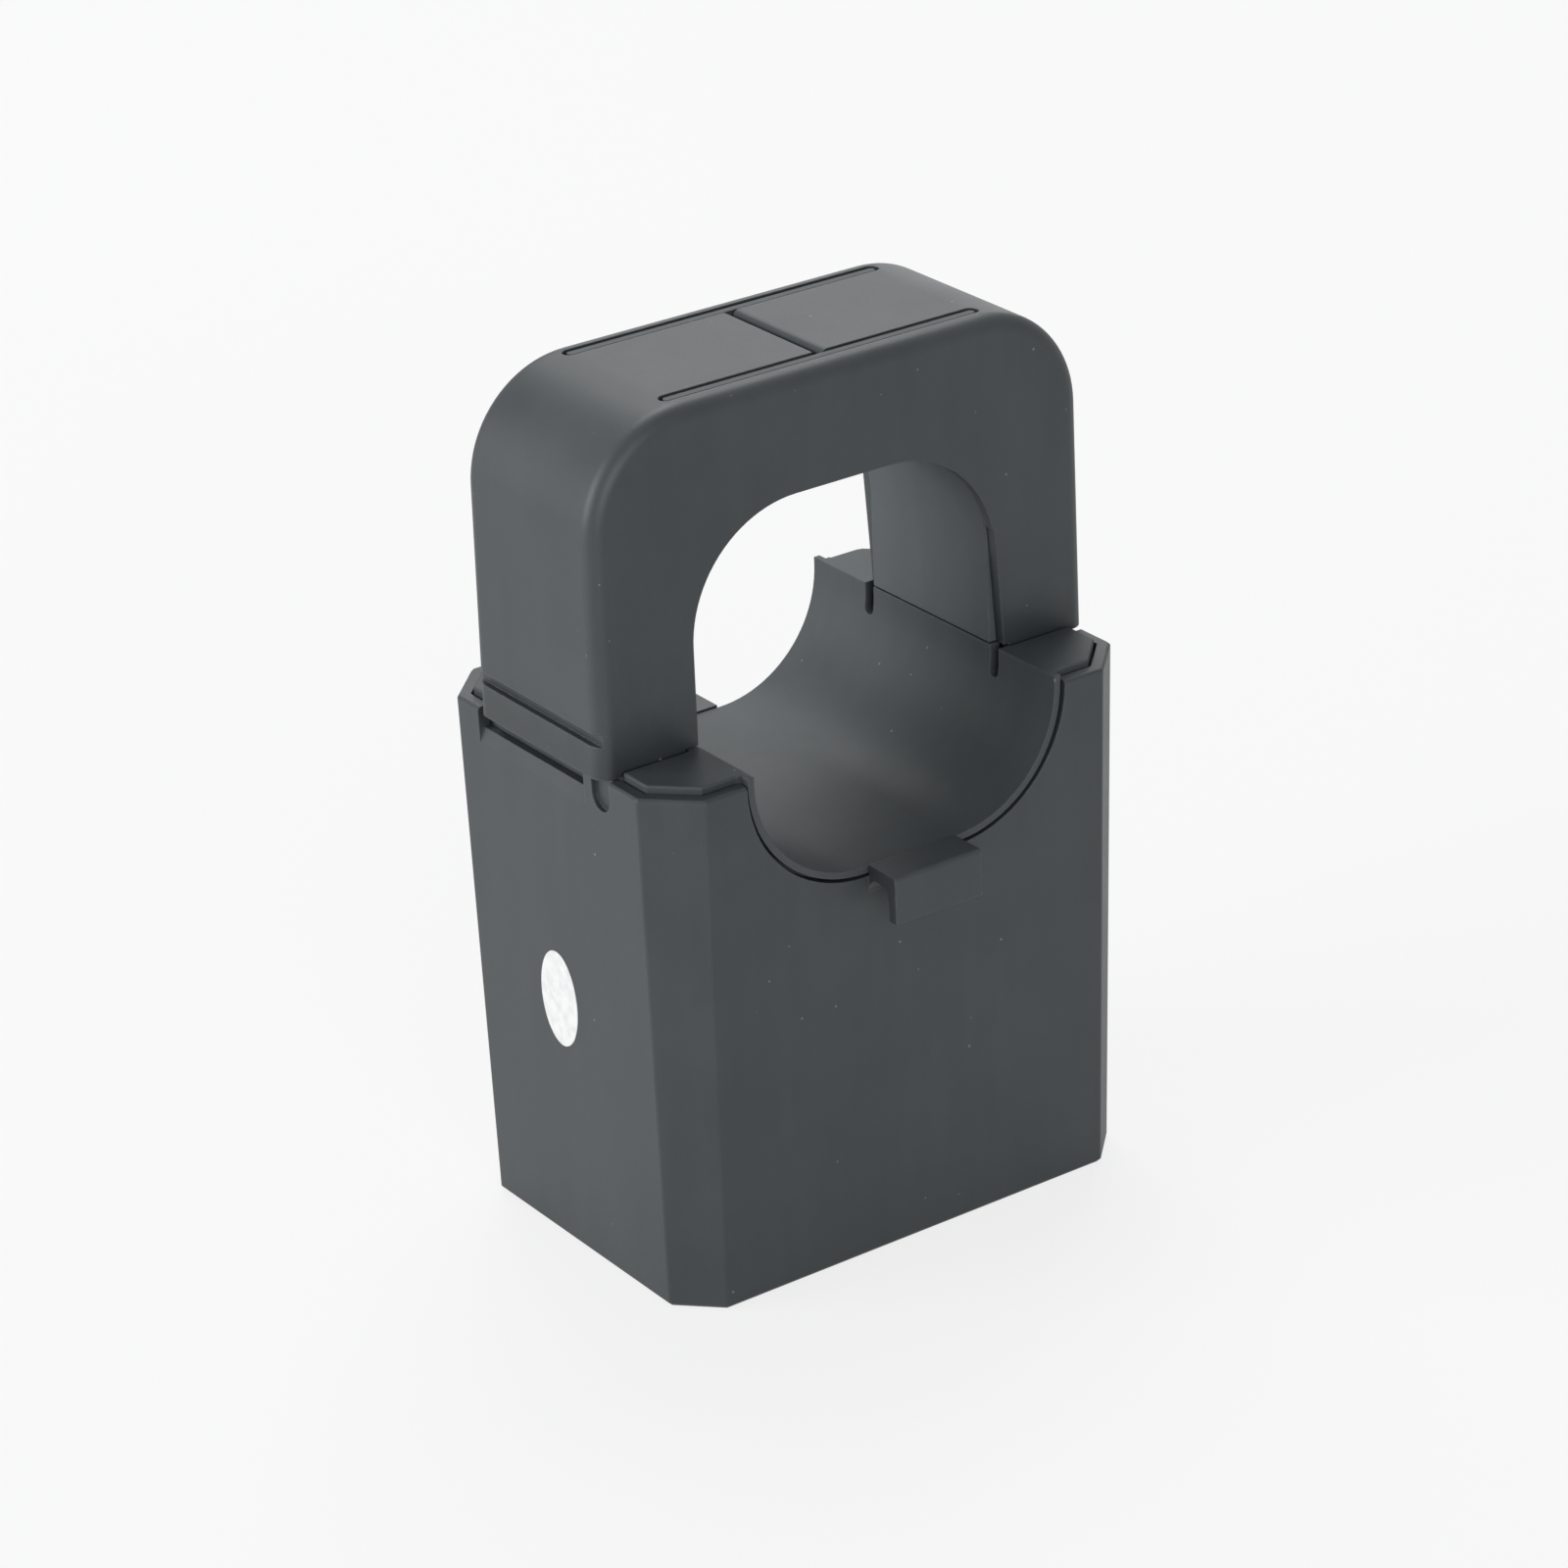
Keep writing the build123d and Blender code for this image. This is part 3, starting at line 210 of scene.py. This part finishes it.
def flat_faced(name, corners, faces):
    """An object from its corners, in metres, and its faces."""
    mesh = bpy.data.meshes.new(name)
    mesh.from_pydata(corners, [], faces)
    piece = bpy.data.objects.new(name, mesh)
    bpy.context.collection.objects.link(piece)
    return piece


FLOOR_HALF = 4.0
floor_corners = [(FLOOR_HALF * x, FLOOR_HALF * y, 0) for x, y in ((-1, -1), (1, -1), (1, 1), (-1, 1))]
floor = flat_faced("floor", floor_corners, [(0, 1, 2, 3)])
sweep = Finish("floor_sweep", Roughness=0.9, Specular_IOR_Level=0.1)
drift = sweep.noise(0.004, 1.0)
sweep.feed(Base_Color=sweep.mix(drift, (0.72, 0.72, 0.72), (0.76, 0.76, 0.76)))
lit = Term(sweep, sweep.surface.outputs[0])
glow = sweep.node("ShaderNodeEmission", {}, {"Color": (1, 1, 1, 1), "Strength": 1.0})
sweep.show("Material Output", sweep.backdrop(lit, glow, 0.8))
sweep.dress(floor)

world = bpy.data.worlds.new("room")
bpy.context.scene.world = world
world.use_nodes = True
room = Shading(world.node_tree)
room_light = room.node("ShaderNodeBackground", {}, {"Color": (0.92, 0.96, 1.0, 1), "Strength": 0.26})
room_white = room.node("ShaderNodeBackground", {}, {"Color": (1, 1, 1, 1), "Strength": 1.0})
room.show("World Output", room.backdrop(room_light, room_white, 1.0))

for name, place, size, power in (
    ("lamp_overhead", (0.3, 0.5, 1.0), 0.7, 7.0),
    ("lamp_backdrop", (0.95, 1.05, 0.36), 0.7, 1.4),
    ("lamp_latch_side", (-1.08, 0.37, 0.4), 0.8, 9.8),
    ("lamp_front", (-0.42, -1.1, 0.36), 0.7, 5.6),
):
    lamp = bpy.data.objects.new(name, bpy.data.lights.new(name, "AREA"))
    bpy.context.collection.objects.link(lamp)
    lamp.data.size = size
    lamp.data.energy = power
    lamp.location = place
    lamp.rotation_euler = (target - Vector(place)).to_track_quat("-Z", "Y").to_euler()
bpy.context.scene.view_settings.view_transform = "Standard"

# Housing: injection-moulded ABS box with a fine spark-eroded grain outside. Everything else of the
# base is let into it from above.


def slate(name, grain, gloss, tint=1.0, shade_band=None):
    """Dark slate moulded plastic: fine grain, faint flow marks, dust and slightly paler edges, the
    paleness a painted highlight with chipped wear in it. The last argument is the band of height over
    which a painted shade, darkest below the band, fades out."""
    body_dark = (0.035, 0.0415, 0.0445)
    body_pale = (0.0435, 0.0505, 0.0535)
    painted_shade_colour = (0.012, 0.016, 0.018)
    highlight_and_wear_colour = (0.13, 0.14, 0.142)
    dust_colour = (0.35, 0.36, 0.35)
    finish = Finish(name, Specular_IOR_Level=0.5)
    mottle = finish.noise(0.11, 3.0)
    flow = finish.noise(0.35, 2.0, (1, 1, 0.12))
    fine = finish.noise(7.5, 2.0)
    colour = finish.mix(
        (mottle * 0.6 + flow * 0.4).over(0.3, 0.7),
        [tint * channel for channel in body_dark],
        [tint * channel for channel in body_pale],
    )
    # painted shade: below the given band of height the colour is darkened, as shade at the yoke's feet
    if shade_band is not None:
        low, high = shade_band
        cloud = finish.noise(0.28, 4.0)
        painted_shade_share = (1 - (finish.axis("Z") + (cloud - 0.5) * 6).over(low, high)) * 0.45
        colour = finish.mix(painted_shade_share, colour, painted_shade_colour)
    # painted highlight: every edge is made paler, more where the chips noise is high, which stands for
    # chipped wear
    edge = finish.edge_mask(0.3)
    chips = finish.noise(1.3, 3.0).over(0.5, 0.62)
    colour = finish.mix(edge * (0.35 + chips * 0.45), colour, highlight_and_wear_colour)
    cells = finish.node("ShaderNodeTexVoronoi", {}, {"Vector": finish.place, "Scale": 0.42}, "Distance")
    sparse = finish.noise(0.6, 1.0)
    dust = (1 - cells.over(0.035, 0.075)) * sparse.over(0.56, 0.6)
    colour = finish.mix(dust * 0.45, colour, dust_colour)
    rough = gloss + (mottle - 0.5) * 0.14 + (fine - 0.5) * 0.1 - edge * 0.05
    finish.feed(Base_Color=colour, Roughness=rough)
    finish.bump(fine, grain, 0.6, finish.soft_edges(0.18))
    return finish


housing_slate = slate("housing_slate", 0.03, 0.46)
housing_slate.dress(nodes["housing"])

# Saddle insert and yoke liner: smoother mouldings of the same ABS that line the window. The saddle is
# welded into the housing's rim; the liner is snapped into the yoke shell from inside. Both are painted
# lighter than the housing, the liner most, as painted light inside the window.
lining_painted_light = slate("lining_painted_light", 0.012, 0.58, 1.28)
lining_painted_light.dress(nodes["saddle"])
liner_painted_light = slate("liner_painted_light", 0.012, 0.5, 1.95)
liner_painted_light.dress(nodes["yoke_liner"])

# Yoke shell: same material as the housing, over the upper half core, with the latch tongue and the
# hinge knuckle moulded on. Its feet are darker, a painted shade just above the housing's rim.
# band over the housing's rim, in mm, over which the painted shade on the yoke's feet fades out
SHADE_BAND_LOW = 1
SHADE_BAND_HIGH = 7
rim_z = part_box("housing")[1][2] / MM
yoke_slate = slate("yoke_slate", 0.03, 0.46, 1.0, (rim_z + SHADE_BAND_LOW, rim_z + SHADE_BAND_HIGH))
yoke_slate.dress(nodes["yoke_shell"])

# Crowns of the liner's two flanges, moulded on with them: the round-ended strips that nearly fill the
# slots in the top of the yoke.
RIB_Y = 8.1
RIB_HALF_LENGTH = 18.2
RIB_HALF_WIDTH = 0.42
RIB_BELOW_TOP = 0.12
RIB_SINK = 0.02
RIB_END_STEPS = 8
rib_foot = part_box("yoke_liner")[1][2] / MM - RIB_SINK
rib_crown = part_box("yoke_shell")[1][2] / MM - RIB_BELOW_TOP
for side, place in ((-1, "front"), (1, "back")):
    outline = []
    for end in (1, -1):
        for step in range(RIB_END_STEPS + 1):
            angle = math.pi * (step / RIB_END_STEPS - 0.5)
            outline.append((
                end * (RIB_HALF_LENGTH - RIB_HALF_WIDTH + RIB_HALF_WIDTH * math.cos(angle)),
                side * RIB_Y + end * RIB_HALF_WIDTH * math.sin(angle),
            ))
    corners = [Vector((x, y, z)) * MM for z in (rib_foot, rib_crown) for x, y in outline]
    count = len(outline)
    sides = [(i, (i + 1) % count, count + (i + 1) % count, count + i) for i in range(count)]
    ends = [tuple(range(count, 2 * count)), tuple(reversed(range(count)))]
    rib = flat_faced("rib_" + place, corners, sides + ends)
    lining_painted_light.dress(rib)
    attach(rib, "yoke")

# Hinge pin: drawn steel wire, pressed into the saddle's lugs through the hole in the back of the yoke
# shell. The shell's knuckle turns on it.
pin_wire = Finish("drawn_wire", Metallic=1.0)
drawn = pin_wire.noise(3.0, 2.0, (1, 0.05, 1))
pin_wire.feed(
    Base_Color=pin_wire.mix(drawn, (0.46, 0.46, 0.45), (0.62, 0.61, 0.6)),
    Roughness=0.28 + drawn * 0.2,
)
pin_wire.bump(drawn, 0.01)
pin_wire.dress(nodes["hinge_pin"])

# Cut core: silicon-steel strip wound into a ring, varnished, cut in two and ground on the faces.
# The layers follow the ring, so they show as fine lines on its sides and on the pole faces.
RING_CORNER = 8.3
STRIP_THICK = 0.2
core_low, core_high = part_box("lower_core")[0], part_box("upper_core")[1]
ring_half_x = core_high[0] / MM
ring_half_z = (core_high[2] - core_low[2]) / 2 / MM
ring_z = (core_high[2] + core_low[2]) / 2 / MM
strip = Finish("wound_strip", Metallic=0.9)
past_x = abs(strip.axis("X")) - (ring_half_x - RING_CORNER)
past_z = abs(strip.axis("Z") - ring_z) - (ring_half_z - RING_CORNER)
round_corner = (past_x.maths("MAXIMUM", 0.0) ** 2 + past_z.maths("MAXIMUM", 0.0) ** 2) ** 0.5
straight_side = past_x.maths("MAXIMUM", past_z).maths("MINIMUM", 0.0)
layers = strip.waves(round_corner + straight_side, STRIP_THICK)
stain = strip.noise(0.4, 3.0)
tarnish = stain.over(0.35, 0.65) * 0.5 + layers * 0.15
strip.feed(
    Base_Color=strip.mix(tarnish, (0.3, 0.3, 0.31), (0.16, 0.15, 0.145)),
    Roughness=0.34 + stain * 0.2,
)
strip.bump(layers, 0.012)
strip.dress(nodes["upper_core"], nodes["lower_core"])

# Bobbin: glass-filled natural polyester moulding, slid over the lower limb of the core before the
# saddle goes on. It carries the secondary winding and its two contact pins.
bobbin_natural = Finish("natural_polyester", Specular_IOR_Level=0.4)
fibres = bobbin_natural.noise(2.2, 3.0, (1, 0.3, 0.3))
bobbin_natural.feed(
    Base_Color=bobbin_natural.mix(fibres, (0.5, 0.47, 0.37), (0.62, 0.59, 0.48)),
    Roughness=0.5 + fibres * 0.2,
)
bobbin_natural.bump(fibres, 0.02)
bobbin_natural.dress(nodes["bobbin"])

# Secondary winding: enamelled copper wire in close layers across the bobbin. Yellow polyester tape is
# wrapped over it in laps.
WIRE_PITCH = 0.3
LAP_PITCH = 12.0
copper = Finish("enamelled_copper", Metallic=0.85)
turns = copper.waves(copper.axis("X"), WIRE_PITCH)
crossing = copper.noise(0.9, 2.0)
copper.feed(
    Base_Color=copper.mix(turns * 0.25 + crossing * 0.5, (0.52, 0.2, 0.08), (0.72, 0.33, 0.15)),
    Roughness=0.26 + crossing * 0.12,
)
copper.bump(turns, 0.05)
copper.dress(nodes["winding"])

yellow_tape = Finish("polyester_tape", Specular_IOR_Level=0.5)
laps = yellow_tape.waves(yellow_tape.axis("X"), LAP_PITCH).over(0.9, 0.94)
creases = yellow_tape.noise(0.7, 3.0, (0.3, 1, 1))
yellow_tape.feed(
    Base_Color=yellow_tape.mix(creases * 0.6 + laps * 0.3, (0.72, 0.55, 0.08), (0.56, 0.4, 0.05)),
    Roughness=0.22 + creases * 0.12,
)
yellow_tape.bump(creases + laps, 0.04)
yellow_tape.dress(nodes["winding_tape"])

# Circuit board: glass-epoxy with green solder mask, held in the housing's guides. The tinned contact
# pins of the bobbin, the burden resistor and the suppressor diode across the output are soldered to it.
mask = Finish("solder_mask", Specular_IOR_Level=0.5)
weave = mask.node("ShaderNodeTexChecker", {}, {"Vector": mask.place, "Scale": 2.4}, "Fac")
cloudy = mask.noise(0.5, 2.0)
mask.feed(
    Base_Color=mask.mix(weave * 0.25 + cloudy * 0.4, (0.012, 0.12, 0.045), (0.03, 0.2, 0.075)),
    Roughness=0.3 + cloudy * 0.1,
)
mask.bump(weave, 0.006)
mask.dress(nodes["circuit_board"])

tinned = Finish("tinned_wire", Metallic=1.0)
frosting = tinned.noise(1.6, 3.0)
tinned.feed(
    Base_Color=tinned.mix(frosting, (0.5, 0.49, 0.46), (0.7, 0.69, 0.66)),
    Roughness=0.3 + frosting * 0.2,
)
tinned.bump(frosting, 0.02)
tinned.dress(nodes["contact_pin_front"], nodes["contact_pin_back"])

# how far a lead's corners are from its middle, how long it is bare above and below the body, and how
# soft the edges of the colours are
LEAD_REACH = 0.4
BARE_LEAD = 1.5
EDGE_BLUR = 0.1


def banded(name, node, body_radius, lacquer, shade, bands):
    """Lacquered body with coloured bands, each a height over its middle, a width and a colour.
    The leads outside the body are tinned."""
    low, high = (Vector(corner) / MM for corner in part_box(node))
    middle = (low + high) / 2
    body_back = high.x - 2 * body_radius
    finish = Finish(name, Specular_IOR_Level=0.5)
    # the body's axis is upright, one body radius from the outer side
    away_x = finish.axis("X") - (high.x - body_radius)
    away_y = finish.axis("Y") - middle.y
    reach = (away_x ** 2 + away_y ** 2) ** 0.5
    lead = 1 - reach.over(LEAD_REACH, LEAD_REACH + EDGE_BLUR)
    arm = 1 - finish.axis("X").over(body_back - 2 * EDGE_BLUR, body_back - EDGE_BLUR)
    height = finish.axis("Z")
    foot = 1 - height.over(low.z + BARE_LEAD, low.z + BARE_LEAD + EDGE_BLUR)
    head = height.over(high.z - BARE_LEAD - EDGE_BLUR, high.z - BARE_LEAD)
    wire = (lead * (foot + head) + arm).over(0.3, 0.6)
    cloud = finish.noise(0.8, 2.0)
    colour = finish.mix(cloud, lacquer, shade)
    for rise, width, tone in bands:
        off_centre = abs(height - (middle.z + rise))
        stripe = 1 - off_centre.over(width / 2, (width + EDGE_BLUR) / 2)
        colour = finish.mix(stripe, colour, tone)
    finish.feed(
        Base_Color=finish.mix(wire, colour, (0.6, 0.59, 0.56)),
        Metallic=wire,
        Roughness=0.3 + cloud * 0.15,
    )
    finish.bump(cloud, 0.03)
    finish.dress(nodes[node])


banded("resistor_lacquer", "burden_resistor", 1.7, (0.12, 0.32, 0.48), (0.2, 0.42, 0.58), (
    (-2.8, 0.7, (0.03, 0.02, 0.015)),
    (-1.2, 0.7, (0.3, 0.02, 0.015)),
    (0.4, 0.7, (0.02, 0.02, 0.02)),
    (2.6, 0.7, (0.4, 0.26, 0.06)),
))
banded("diode_moulding", "suppressor_diode", 1.4, (0.02, 0.02, 0.021), (0.035, 0.035, 0.036), (
    (1.4, 0.6, (0.6, 0.6, 0.58)),
))

# Output terminals: a black two-bay block on the board that shows in the hinge-side wall, with
# nickel-plated plates, captive clamp washers and cross-slotted screws.
block_black = slate("terminal_black", 0.02, 0.42, 0.62)
block_black.dress(nodes["terminal_block"])
nickel = Finish("nickel_plate", Metallic=1.0)
brushing = nickel.noise(4.0, 2.0, (1, 0.08, 1))
haze = nickel.noise(0.5, 3.0)
nickel.feed(
    Base_Color=nickel.mix(haze * 0.7 + brushing * 0.3, (0.52, 0.5, 0.45), (0.72, 0.7, 0.65)),
    Roughness=0.2 + brushing * 0.14 + haze * 0.1,
)
nickel.bump(brushing, 0.008, 0.5, nickel.soft_edges(0.08))
for place in ("front", "back"):
    nickel.dress(
        nodes["terminal_plate_" + place],
        nodes["clamp_washer_" + place],
        nodes["terminal_screw_" + place],
    )

# Sticker: a small oval of white vinyl with a slightly rounded edge, pressed on the latch-side wall.
# The wall leans out a millimetre from its foot to the rim.
STICKER_HALF_Y = 3.15
STICKER_HALF_Z = 5.2
STICKER_THICK = 0.12
STICKER_Y = 0.8
STICKER_Z = 27.9
STICKER_STEPS = 72
WALL_FOOT_X = -27.5
WALL_SLOPE = 1.0 / 55.6
wall_x = WALL_FOOT_X - STICKER_Z * WALL_SLOPE
profile = ((1.0, 0.01), (1.0, 0.07), (0.985, 0.11), (0.95, STICKER_THICK), (0.5, STICKER_THICK))
corners = []
for share, lift in profile:
    for step in range(STICKER_STEPS):
        angle = 2 * math.pi * step / STICKER_STEPS
        along = share * STICKER_HALF_Y * math.cos(angle)
        rise = share * STICKER_HALF_Z * math.sin(angle)
        out = wall_x - rise * WALL_SLOPE - lift
        corners.append(Vector((out, STICKER_Y + along, STICKER_Z + rise)) * MM)
faces = []
for outer in range(0, len(corners) - STICKER_STEPS, STICKER_STEPS):
    inner = outer + STICKER_STEPS
    for step in range(STICKER_STEPS):
        following = (step + 1) % STICKER_STEPS
        faces.append((outer + following, outer + step, inner + step, inner + following))
faces.append(tuple(reversed(range(len(corners) - STICKER_STEPS, len(corners)))))
faces.append(tuple(range(STICKER_STEPS)))
sticker = flat_faced("sticker", corners, faces)
vinyl = Finish("white_vinyl", Specular_IOR_Level=0.5)
scuff = vinyl.noise(0.9, 3.0)
vinyl.feed(
    Base_Color=vinyl.mix(scuff.over(0.35, 0.75), (0.84, 0.85, 0.84), (0.72, 0.73, 0.73)),
    Roughness=0.32 + scuff * 0.2,
)
vinyl.bump(scuff, 0.01)
vinyl.dress(sticker)
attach(sticker, "base")
